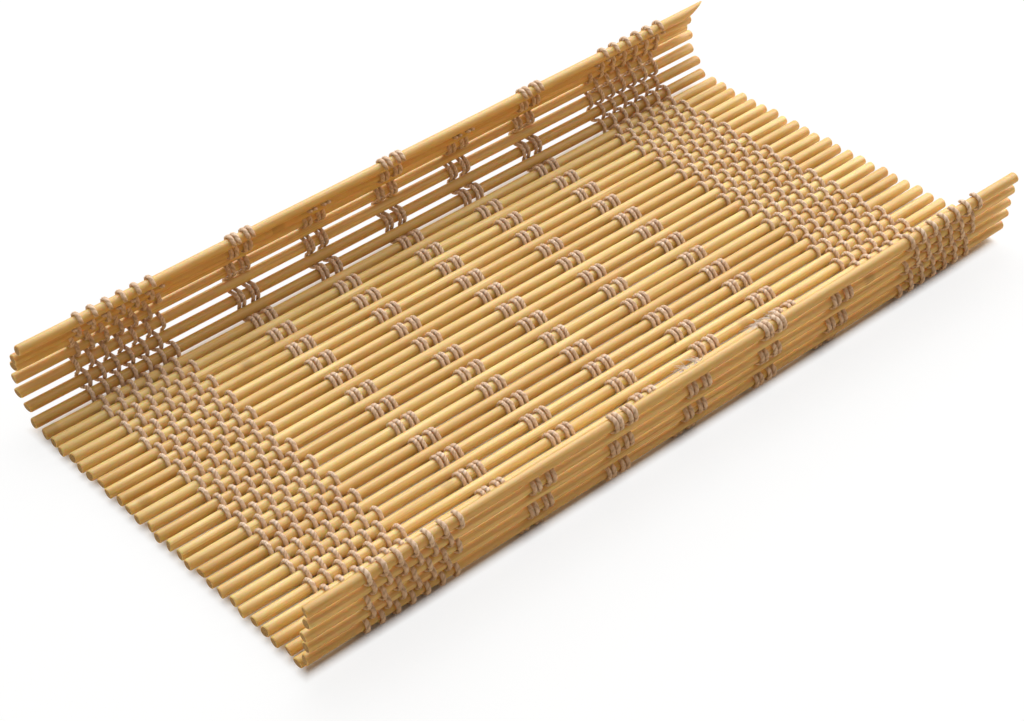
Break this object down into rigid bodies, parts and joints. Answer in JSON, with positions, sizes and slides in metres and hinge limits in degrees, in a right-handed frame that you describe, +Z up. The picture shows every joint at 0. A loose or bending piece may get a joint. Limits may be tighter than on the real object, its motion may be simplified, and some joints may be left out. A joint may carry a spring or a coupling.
{
  "type": "rolling mat",
  "caption": "Small rolling mat of round bamboo slats laced side by side with cotton threads, its rear edge curled up and its front edge folded up into a low wall.",
  "frame": {"origin": "middle of the mat's footprint, on the surface that it lies on", "axes": "+X along the slats, +Y towards the curled rear edge, +Z up"},
  "size_m": [0.1104, 0.06, 0.0136],
  "materials": {
    "bamboo": "satin",
    "cotton_thread": "matte"
  },
  "bodies": {
    "slat_20": {"slat_20": "bamboo", "left_lacing_1": "cotton_thread", "left_lacing_2": "cotton_thread", "left_lacing_3": "cotton_thread", "left_lacing_4": "cotton_thread", "left_lacing_5": "cotton_thread", "left_lacing_6": "cotton_thread", "left_lacing_7": "cotton_thread", "right_lacing_1": "cotton_thread", "right_lacing_2": "cotton_thread", "right_lacing_3": "cotton_thread", "right_lacing_4": "cotton_thread", "right_lacing_5": "cotton_thread", "right_lacing_6": "cotton_thread", "right_lacing_7": "cotton_thread", "narrow_lacing_1": "cotton_thread", "narrow_lacing_2": "cotton_thread", "narrow_lacing_3": "cotton_thread", "narrow_lacing_4": "cotton_thread", "narrow_lacing_5": "cotton_thread"},
    "slat_19": {"slat_19": "bamboo"},
    "slat_18": {"slat_18": "bamboo"},
    "slat_17": {"slat_17": "bamboo"},
    "slat_16": {"slat_16": "bamboo"},
    "slat_15": {"slat_15": "bamboo"},
    "slat_14": {"slat_14": "bamboo"},
    "slat_13": {"slat_13": "bamboo"},
    "slat_12": {"slat_12": "bamboo"},
    "slat_11": {"slat_11": "bamboo"},
    "slat_10": {"slat_10": "bamboo"},
    "slat_09": {"slat_09": "bamboo"},
    "slat_08": {"slat_08": "bamboo"},
    "slat_07": {"slat_07": "bamboo"},
    "slat_06": {"slat_06": "bamboo"},
    "slat_05": {"slat_05": "bamboo"},
    "slat_04": {"slat_04": "bamboo"},
    "slat_03": {"slat_03": "bamboo"},
    "slat_02": {"slat_02": "bamboo"},
    "slat_01": {"slat_01": "bamboo"},
    "slat_21": {"slat_21": "bamboo"},
    "slat_22": {"slat_22": "bamboo"},
    "slat_23": {"slat_23": "bamboo"},
    "slat_24": {"slat_24": "bamboo"},
    "slat_25": {"slat_25": "bamboo"},
    "slat_26": {"slat_26": "bamboo"},
    "slat_27": {"slat_27": "bamboo"},
    "slat_28": {"slat_28": "bamboo"},
    "slat_29": {"slat_29": "bamboo"},
    "slat_30": {"slat_30": "bamboo"},
    "slat_31": {"slat_31": "bamboo"},
    "slat_32": {"slat_32": "bamboo"},
    "slat_33": {"slat_33": "bamboo"},
    "slat_34": {"slat_34": "bamboo"},
    "slat_35": {"slat_35": "bamboo"},
    "slat_36": {"slat_36": "bamboo"},
    "slat_37": {"slat_37": "bamboo"},
    "slat_38": {"slat_38": "bamboo"}
  },
  "joints": [
    {"name": "bend_20_19", "type": "hinge", "parent": "slat_20", "child": "slat_19", "pos_m": [0, 0.00002, 0.00124], "axis": [1, 0, 0], "range_deg": [0, 20], "deforming": ["left_lacing_1", "left_lacing_2", "left_lacing_3", "left_lacing_4", "left_lacing_5", "left_lacing_6", "left_lacing_7", "right_lacing_1", "right_lacing_2", "right_lacing_3", "right_lacing_4", "right_lacing_5", "right_lacing_6", "right_lacing_7", "narrow_lacing_1", "narrow_lacing_2", "narrow_lacing_3", "narrow_lacing_4", "narrow_lacing_5"]},
    {"name": "bend_19_18", "type": "hinge", "parent": "slat_19", "child": "slat_18", "pos_m": [0, 0.00202, 0.00124], "axis": [1, 0, 0], "range_deg": [0, 20.5], "deforming": ["left_lacing_1", "left_lacing_2", "left_lacing_3", "left_lacing_4", "left_lacing_5", "left_lacing_6", "left_lacing_7", "right_lacing_1", "right_lacing_2", "right_lacing_3", "right_lacing_4", "right_lacing_5", "right_lacing_6", "right_lacing_7", "narrow_lacing_1", "narrow_lacing_2", "narrow_lacing_3", "narrow_lacing_4", "narrow_lacing_5"]},
    {"name": "bend_18_17", "type": "hinge", "parent": "slat_18", "child": "slat_17", "pos_m": [0, 0.00402, 0.00124], "axis": [1, 0, 0], "range_deg": [0, 21], "deforming": ["left_lacing_1", "left_lacing_2", "left_lacing_3", "left_lacing_4", "left_lacing_5", "left_lacing_6", "left_lacing_7", "right_lacing_1", "right_lacing_2", "right_lacing_3", "right_lacing_4", "right_lacing_5", "right_lacing_6", "right_lacing_7", "narrow_lacing_1", "narrow_lacing_2", "narrow_lacing_3", "narrow_lacing_4", "narrow_lacing_5"]},
    {"name": "bend_17_16", "type": "hinge", "parent": "slat_17", "child": "slat_16", "pos_m": [0, 0.00602, 0.00124], "axis": [1, 0, 0], "range_deg": [0, 22], "deforming": ["left_lacing_1", "left_lacing_2", "left_lacing_3", "left_lacing_4", "left_lacing_5", "left_lacing_6", "left_lacing_7", "right_lacing_1", "right_lacing_2", "right_lacing_3", "right_lacing_4", "right_lacing_5", "right_lacing_6", "right_lacing_7", "narrow_lacing_1", "narrow_lacing_2", "narrow_lacing_3", "narrow_lacing_4", "narrow_lacing_5"]},
    {"name": "bend_16_15", "type": "hinge", "parent": "slat_16", "child": "slat_15", "pos_m": [0, 0.00802, 0.00124], "axis": [1, 0, 0], "range_deg": [0, 22.5], "deforming": ["left_lacing_1", "left_lacing_2", "left_lacing_3", "left_lacing_4", "left_lacing_5", "left_lacing_6", "left_lacing_7", "right_lacing_1", "right_lacing_2", "right_lacing_3", "right_lacing_4", "right_lacing_5", "right_lacing_6", "right_lacing_7", "narrow_lacing_1", "narrow_lacing_2", "narrow_lacing_3", "narrow_lacing_4", "narrow_lacing_5"]},
    {"name": "bend_15_14", "type": "hinge", "parent": "slat_15", "child": "slat_14", "pos_m": [0, 0.01002, 0.00124], "axis": [1, 0, 0], "range_deg": [0, 23], "deforming": ["left_lacing_1", "left_lacing_2", "left_lacing_3", "left_lacing_4", "left_lacing_5", "left_lacing_6", "left_lacing_7", "right_lacing_1", "right_lacing_2", "right_lacing_3", "right_lacing_4", "right_lacing_5", "right_lacing_6", "right_lacing_7", "narrow_lacing_1", "narrow_lacing_2", "narrow_lacing_3", "narrow_lacing_4", "narrow_lacing_5"]},
    {"name": "bend_14_13", "type": "hinge", "parent": "slat_14", "child": "slat_13", "pos_m": [0, 0.01202, 0.00124], "axis": [1, 0, 0], "range_deg": [0, 24], "deforming": ["left_lacing_1", "left_lacing_2", "left_lacing_3", "left_lacing_4", "left_lacing_5", "left_lacing_6", "left_lacing_7", "right_lacing_1", "right_lacing_2", "right_lacing_3", "right_lacing_4", "right_lacing_5", "right_lacing_6", "right_lacing_7", "narrow_lacing_1", "narrow_lacing_2", "narrow_lacing_3", "narrow_lacing_4", "narrow_lacing_5"]},
    {"name": "bend_13_12", "type": "hinge", "parent": "slat_13", "child": "slat_12", "pos_m": [0, 0.01402, 0.00124], "axis": [1, 0, 0], "range_deg": [0, 25], "deforming": ["left_lacing_1", "left_lacing_2", "left_lacing_3", "left_lacing_4", "left_lacing_5", "left_lacing_6", "left_lacing_7", "right_lacing_1", "right_lacing_2", "right_lacing_3", "right_lacing_4", "right_lacing_5", "right_lacing_6", "right_lacing_7", "narrow_lacing_1", "narrow_lacing_2", "narrow_lacing_3", "narrow_lacing_4", "narrow_lacing_5"]},
    {"name": "bend_12_11", "type": "hinge", "parent": "slat_12", "child": "slat_11", "pos_m": [0, 0.01602, 0.00124], "axis": [1, 0, 0], "range_deg": [0, 26], "deforming": ["left_lacing_1", "left_lacing_2", "left_lacing_3", "left_lacing_4", "left_lacing_5", "left_lacing_6", "left_lacing_7", "right_lacing_1", "right_lacing_2", "right_lacing_3", "right_lacing_4", "right_lacing_5", "right_lacing_6", "right_lacing_7", "narrow_lacing_1", "narrow_lacing_2", "narrow_lacing_3", "narrow_lacing_4", "narrow_lacing_5"]},
    {"name": "bend_11_10", "type": "hinge", "parent": "slat_11", "child": "slat_10", "pos_m": [0, 0.01802, 0.00124], "axis": [1, 0, 0], "range_deg": [0, 27], "deforming": ["left_lacing_1", "left_lacing_2", "left_lacing_3", "left_lacing_4", "left_lacing_5", "left_lacing_6", "left_lacing_7", "right_lacing_1", "right_lacing_2", "right_lacing_3", "right_lacing_4", "right_lacing_5", "right_lacing_6", "right_lacing_7", "narrow_lacing_1", "narrow_lacing_2", "narrow_lacing_3", "narrow_lacing_4", "narrow_lacing_5"]},
    {"name": "bend_10_09", "type": "hinge", "parent": "slat_10", "child": "slat_09", "pos_m": [0, 0.02002, 0.00124], "axis": [1, 0, 0], "range_deg": [0, 28.5], "deforming": ["left_lacing_1", "left_lacing_2", "left_lacing_3", "left_lacing_4", "left_lacing_5", "left_lacing_6", "left_lacing_7", "right_lacing_1", "right_lacing_2", "right_lacing_3", "right_lacing_4", "right_lacing_5", "right_lacing_6", "right_lacing_7", "narrow_lacing_1", "narrow_lacing_2", "narrow_lacing_3", "narrow_lacing_4", "narrow_lacing_5"]},
    {"name": "bend_09_08", "type": "hinge", "parent": "slat_09", "child": "slat_08", "pos_m": [0, 0.02202, 0.00124], "axis": [1, 0, 0], "range_deg": [0, 29.5], "deforming": ["left_lacing_1", "left_lacing_2", "left_lacing_3", "left_lacing_4", "left_lacing_5", "left_lacing_6", "left_lacing_7", "right_lacing_1", "right_lacing_2", "right_lacing_3", "right_lacing_4", "right_lacing_5", "right_lacing_6", "right_lacing_7", "narrow_lacing_1", "narrow_lacing_2", "narrow_lacing_3", "narrow_lacing_4", "narrow_lacing_5"]},
    {"name": "bend_08_07", "type": "hinge", "parent": "slat_08", "child": "slat_07", "pos_m": [0, 0.02402, 0.00124], "axis": [1, 0, 0], "range_deg": [-20, 11.5], "deforming": ["left_lacing_1", "left_lacing_2", "left_lacing_3", "left_lacing_4", "left_lacing_5", "left_lacing_6", "left_lacing_7", "right_lacing_1", "right_lacing_2", "right_lacing_3", "right_lacing_4", "right_lacing_5", "right_lacing_6", "right_lacing_7", "narrow_lacing_1", "narrow_lacing_2", "narrow_lacing_3", "narrow_lacing_4", "narrow_lacing_5"]},
    {"name": "bend_07_06", "type": "hinge", "parent": "slat_07", "child": "slat_06", "pos_m": [0, 0.0259, 0.00192], "axis": [1, 0, 0], "range_deg": [-20, 13.5], "deforming": ["left_lacing_1", "left_lacing_2", "left_lacing_3", "left_lacing_4", "left_lacing_5", "left_lacing_6", "left_lacing_7", "right_lacing_1", "right_lacing_2", "right_lacing_3", "right_lacing_4", "right_lacing_5", "right_lacing_6", "right_lacing_7", "narrow_lacing_1", "narrow_lacing_2", "narrow_lacing_3", "narrow_lacing_4", "narrow_lacing_5"]},
    {"name": "bend_06_05", "type": "hinge", "parent": "slat_06", "child": "slat_05", "pos_m": [0, 0.02743, 0.00321], "axis": [1, 0, 0], "range_deg": [-20, 16], "deforming": ["left_lacing_1", "left_lacing_2", "left_lacing_3", "left_lacing_4", "left_lacing_5", "left_lacing_6", "left_lacing_7", "right_lacing_1", "right_lacing_2", "right_lacing_3", "right_lacing_4", "right_lacing_5", "right_lacing_6", "right_lacing_7", "narrow_lacing_1", "narrow_lacing_2", "narrow_lacing_3", "narrow_lacing_4", "narrow_lacing_5"]},
    {"name": "bend_05_04", "type": "hinge", "parent": "slat_05", "child": "slat_04", "pos_m": [0, 0.02843, 0.00494], "axis": [1, 0, 0], "range_deg": [-20, 19.5], "deforming": ["left_lacing_1", "left_lacing_2", "left_lacing_3", "left_lacing_4", "left_lacing_5", "left_lacing_6", "left_lacing_7", "right_lacing_1", "right_lacing_2", "right_lacing_3", "right_lacing_4", "right_lacing_5", "right_lacing_6", "right_lacing_7", "narrow_lacing_1", "narrow_lacing_2", "narrow_lacing_3", "narrow_lacing_4", "narrow_lacing_5"]},
    {"name": "bend_04_03", "type": "hinge", "parent": "slat_04", "child": "slat_03", "pos_m": [0, 0.02878, 0.00691], "axis": [1, 0, 0], "range_deg": [-20, 23.5], "deforming": ["left_lacing_1", "left_lacing_2", "left_lacing_3", "left_lacing_4", "left_lacing_5", "left_lacing_6", "left_lacing_7", "right_lacing_1", "right_lacing_2", "right_lacing_3", "right_lacing_4", "right_lacing_5", "right_lacing_6", "right_lacing_7", "narrow_lacing_1", "narrow_lacing_2", "narrow_lacing_3", "narrow_lacing_4", "narrow_lacing_5"]},
    {"name": "bend_03_02", "type": "hinge", "parent": "slat_03", "child": "slat_02", "pos_m": [0, 0.02843, 0.00888], "axis": [1, 0, 0], "range_deg": [-20, 30], "deforming": ["left_lacing_1", "left_lacing_2", "left_lacing_3", "left_lacing_4", "left_lacing_5", "left_lacing_6", "left_lacing_7", "right_lacing_1", "right_lacing_2", "right_lacing_3", "right_lacing_4", "right_lacing_5", "right_lacing_6", "right_lacing_7", "narrow_lacing_1", "narrow_lacing_2", "narrow_lacing_3", "narrow_lacing_4", "narrow_lacing_5"]},
    {"name": "bend_02_01", "type": "hinge", "parent": "slat_02", "child": "slat_01", "pos_m": [0, 0.02743, 0.01061], "axis": [1, 0, 0], "range_deg": [0, 59.5], "deforming": ["left_lacing_1", "left_lacing_2", "left_lacing_3", "left_lacing_4", "left_lacing_5", "left_lacing_6", "left_lacing_7", "right_lacing_1", "right_lacing_2", "right_lacing_3", "right_lacing_4", "right_lacing_5", "right_lacing_6", "right_lacing_7", "narrow_lacing_1", "narrow_lacing_2", "narrow_lacing_3", "narrow_lacing_4", "narrow_lacing_5"]},
    {"name": "bend_20_21", "type": "hinge", "parent": "slat_20", "child": "slat_21", "pos_m": [0, 0.00002, 0.00124], "axis": [1, 0, 0], "range_deg": [-18, 0], "deforming": ["left_lacing_1", "left_lacing_2", "left_lacing_3", "left_lacing_4", "left_lacing_5", "left_lacing_6", "left_lacing_7", "right_lacing_1", "right_lacing_2", "right_lacing_3", "right_lacing_4", "right_lacing_5", "right_lacing_6", "right_lacing_7", "narrow_lacing_1", "narrow_lacing_2", "narrow_lacing_3", "narrow_lacing_4", "narrow_lacing_5"]},
    {"name": "bend_21_22", "type": "hinge", "parent": "slat_21", "child": "slat_22", "pos_m": [0, -0.00198, 0.00124], "axis": [1, 0, 0], "range_deg": [-18.8, 0], "deforming": ["left_lacing_1", "left_lacing_2", "left_lacing_3", "left_lacing_4", "left_lacing_5", "left_lacing_6", "left_lacing_7", "right_lacing_1", "right_lacing_2", "right_lacing_3", "right_lacing_4", "right_lacing_5", "right_lacing_6", "right_lacing_7", "narrow_lacing_1", "narrow_lacing_2", "narrow_lacing_3", "narrow_lacing_4", "narrow_lacing_5"]},
    {"name": "bend_22_23", "type": "hinge", "parent": "slat_22", "child": "slat_23", "pos_m": [0, -0.00398, 0.00124], "axis": [1, 0, 0], "range_deg": [-19.6, 0], "deforming": ["left_lacing_1", "left_lacing_2", "left_lacing_3", "left_lacing_4", "left_lacing_5", "left_lacing_6", "left_lacing_7", "right_lacing_1", "right_lacing_2", "right_lacing_3", "right_lacing_4", "right_lacing_5", "right_lacing_6", "right_lacing_7", "narrow_lacing_1", "narrow_lacing_2", "narrow_lacing_3", "narrow_lacing_4", "narrow_lacing_5"]},
    {"name": "bend_23_24", "type": "hinge", "parent": "slat_23", "child": "slat_24", "pos_m": [0, -0.00598, 0.00124], "axis": [1, 0, 0], "range_deg": [-20.4, 0], "deforming": ["left_lacing_1", "left_lacing_2", "left_lacing_3", "left_lacing_4", "left_lacing_5", "left_lacing_6", "left_lacing_7", "right_lacing_1", "right_lacing_2", "right_lacing_3", "right_lacing_4", "right_lacing_5", "right_lacing_6", "right_lacing_7", "narrow_lacing_1", "narrow_lacing_2", "narrow_lacing_3", "narrow_lacing_4", "narrow_lacing_5"]},
    {"name": "bend_24_25", "type": "hinge", "parent": "slat_24", "child": "slat_25", "pos_m": [0, -0.00798, 0.00124], "axis": [1, 0, 0], "range_deg": [-21.2, 0], "deforming": ["left_lacing_1", "left_lacing_2", "left_lacing_3", "left_lacing_4", "left_lacing_5", "left_lacing_6", "left_lacing_7", "right_lacing_1", "right_lacing_2", "right_lacing_3", "right_lacing_4", "right_lacing_5", "right_lacing_6", "right_lacing_7", "narrow_lacing_1", "narrow_lacing_2", "narrow_lacing_3", "narrow_lacing_4", "narrow_lacing_5"]},
    {"name": "bend_25_26", "type": "hinge", "parent": "slat_25", "child": "slat_26", "pos_m": [0, -0.00998, 0.00124], "axis": [1, 0, 0], "range_deg": [-22, 0], "deforming": ["left_lacing_1", "left_lacing_2", "left_lacing_3", "left_lacing_4", "left_lacing_5", "left_lacing_6", "left_lacing_7", "right_lacing_1", "right_lacing_2", "right_lacing_3", "right_lacing_4", "right_lacing_5", "right_lacing_6", "right_lacing_7", "narrow_lacing_1", "narrow_lacing_2", "narrow_lacing_3", "narrow_lacing_4", "narrow_lacing_5"]},
    {"name": "bend_26_27", "type": "hinge", "parent": "slat_26", "child": "slat_27", "pos_m": [0, -0.01198, 0.00124], "axis": [1, 0, 0], "range_deg": [-22.8, 0], "deforming": ["left_lacing_1", "left_lacing_2", "left_lacing_3", "left_lacing_4", "left_lacing_5", "left_lacing_6", "left_lacing_7", "right_lacing_1", "right_lacing_2", "right_lacing_3", "right_lacing_4", "right_lacing_5", "right_lacing_6", "right_lacing_7", "narrow_lacing_1", "narrow_lacing_2", "narrow_lacing_3", "narrow_lacing_4", "narrow_lacing_5"]},
    {"name": "bend_27_28", "type": "hinge", "parent": "slat_27", "child": "slat_28", "pos_m": [0, -0.01398, 0.00124], "axis": [1, 0, 0], "range_deg": [-23.6, 0], "deforming": ["left_lacing_1", "left_lacing_2", "left_lacing_3", "left_lacing_4", "left_lacing_5", "left_lacing_6", "left_lacing_7", "right_lacing_1", "right_lacing_2", "right_lacing_3", "right_lacing_4", "right_lacing_5", "right_lacing_6", "right_lacing_7", "narrow_lacing_1", "narrow_lacing_2", "narrow_lacing_3", "narrow_lacing_4", "narrow_lacing_5"]},
    {"name": "bend_28_29", "type": "hinge", "parent": "slat_28", "child": "slat_29", "pos_m": [0, -0.01598, 0.00124], "axis": [1, 0, 0], "range_deg": [-24.4, 0], "deforming": ["left_lacing_1", "left_lacing_2", "left_lacing_3", "left_lacing_4", "left_lacing_5", "left_lacing_6", "left_lacing_7", "right_lacing_1", "right_lacing_2", "right_lacing_3", "right_lacing_4", "right_lacing_5", "right_lacing_6", "right_lacing_7", "narrow_lacing_1", "narrow_lacing_2", "narrow_lacing_3", "narrow_lacing_4", "narrow_lacing_5"]},
    {"name": "bend_29_30", "type": "hinge", "parent": "slat_29", "child": "slat_30", "pos_m": [0, -0.01798, 0.00124], "axis": [1, 0, 0], "range_deg": [-25.2, 0], "deforming": ["left_lacing_1", "left_lacing_2", "left_lacing_3", "left_lacing_4", "left_lacing_5", "left_lacing_6", "left_lacing_7", "right_lacing_1", "right_lacing_2", "right_lacing_3", "right_lacing_4", "right_lacing_5", "right_lacing_6", "right_lacing_7", "narrow_lacing_1", "narrow_lacing_2", "narrow_lacing_3", "narrow_lacing_4", "narrow_lacing_5"]},
    {"name": "bend_30_31", "type": "hinge", "parent": "slat_30", "child": "slat_31", "pos_m": [0, -0.01998, 0.00124], "axis": [1, 0, 0], "range_deg": [-26, 0], "deforming": ["left_lacing_1", "left_lacing_2", "left_lacing_3", "left_lacing_4", "left_lacing_5", "left_lacing_6", "left_lacing_7", "right_lacing_1", "right_lacing_2", "right_lacing_3", "right_lacing_4", "right_lacing_5", "right_lacing_6", "right_lacing_7", "narrow_lacing_1", "narrow_lacing_2", "narrow_lacing_3", "narrow_lacing_4", "narrow_lacing_5"]},
    {"name": "bend_31_32", "type": "hinge", "parent": "slat_31", "child": "slat_32", "pos_m": [0, -0.02198, 0.00124], "axis": [1, 0, 0], "range_deg": [-28, 0], "deforming": ["left_lacing_1", "left_lacing_2", "left_lacing_3", "left_lacing_4", "left_lacing_5", "left_lacing_6", "left_lacing_7", "right_lacing_1", "right_lacing_2", "right_lacing_3", "right_lacing_4", "right_lacing_5", "right_lacing_6", "right_lacing_7", "narrow_lacing_1", "narrow_lacing_2", "narrow_lacing_3", "narrow_lacing_4", "narrow_lacing_5"]},
    {"name": "bend_32_33", "type": "hinge", "parent": "slat_32", "child": "slat_33", "pos_m": [0, -0.02398, 0.00124], "axis": [1, 0, 0], "range_deg": [-12, 0], "deforming": ["left_lacing_1", "left_lacing_2", "left_lacing_3", "left_lacing_4", "left_lacing_5", "left_lacing_6", "left_lacing_7", "right_lacing_1", "right_lacing_2", "right_lacing_3", "right_lacing_4", "right_lacing_5", "right_lacing_6", "right_lacing_7", "narrow_lacing_1", "narrow_lacing_2", "narrow_lacing_3", "narrow_lacing_4", "narrow_lacing_5"]},
    {"name": "bend_33_34", "type": "hinge", "parent": "slat_33", "child": "slat_34", "pos_m": [0, -0.02598, 0.00124], "axis": [1, 0, 0], "range_deg": [-1, 45], "deforming": ["left_lacing_1", "left_lacing_2", "left_lacing_3", "left_lacing_4", "left_lacing_5", "left_lacing_6", "left_lacing_7", "right_lacing_1", "right_lacing_2", "right_lacing_3", "right_lacing_4", "right_lacing_5", "right_lacing_6", "right_lacing_7", "narrow_lacing_1", "narrow_lacing_2", "narrow_lacing_3", "narrow_lacing_4", "narrow_lacing_5"]},
    {"name": "bend_34_35", "type": "hinge", "parent": "slat_34", "child": "slat_35", "pos_m": [0, -0.02739, 0.00265], "axis": [1, 0, 0], "range_deg": [-11, 35], "deforming": ["left_lacing_1", "left_lacing_2", "left_lacing_3", "left_lacing_4", "left_lacing_5", "left_lacing_6", "left_lacing_7", "right_lacing_1", "right_lacing_2", "right_lacing_3", "right_lacing_4", "right_lacing_5", "right_lacing_6", "right_lacing_7", "narrow_lacing_1", "narrow_lacing_2", "narrow_lacing_3", "narrow_lacing_4", "narrow_lacing_5"]},
    {"name": "bend_35_36", "type": "hinge", "parent": "slat_35", "child": "slat_36", "pos_m": [0, -0.02774, 0.00462], "axis": [1, 0, 0], "range_deg": [-46, 0], "deforming": ["left_lacing_1", "left_lacing_2", "left_lacing_3", "left_lacing_4", "left_lacing_5", "left_lacing_6", "left_lacing_7", "right_lacing_1", "right_lacing_2", "right_lacing_3", "right_lacing_4", "right_lacing_5", "right_lacing_6", "right_lacing_7", "narrow_lacing_1", "narrow_lacing_2", "narrow_lacing_3", "narrow_lacing_4", "narrow_lacing_5"]},
    {"name": "bend_36_37", "type": "hinge", "parent": "slat_36", "child": "slat_37", "pos_m": [0, -0.02809, 0.00659], "axis": [1, 0, 0], "range_deg": [-46, 0], "deforming": ["left_lacing_1", "left_lacing_2", "left_lacing_3", "left_lacing_4", "left_lacing_5", "left_lacing_6", "left_lacing_7", "right_lacing_1", "right_lacing_2", "right_lacing_3", "right_lacing_4", "right_lacing_5", "right_lacing_6", "right_lacing_7", "narrow_lacing_1", "narrow_lacing_2", "narrow_lacing_3", "narrow_lacing_4", "narrow_lacing_5"]},
    {"name": "bend_37_38", "type": "hinge", "parent": "slat_37", "child": "slat_38", "pos_m": [0, -0.02843, 0.00856], "axis": [1, 0, 0], "range_deg": [-46, 0], "deforming": ["left_lacing_1", "left_lacing_2", "left_lacing_3", "left_lacing_4", "left_lacing_5", "left_lacing_6", "left_lacing_7", "right_lacing_1", "right_lacing_2", "right_lacing_3", "right_lacing_4", "right_lacing_5", "right_lacing_6", "right_lacing_7", "narrow_lacing_1", "narrow_lacing_2", "narrow_lacing_3", "narrow_lacing_4", "narrow_lacing_5"]}
  ]
}
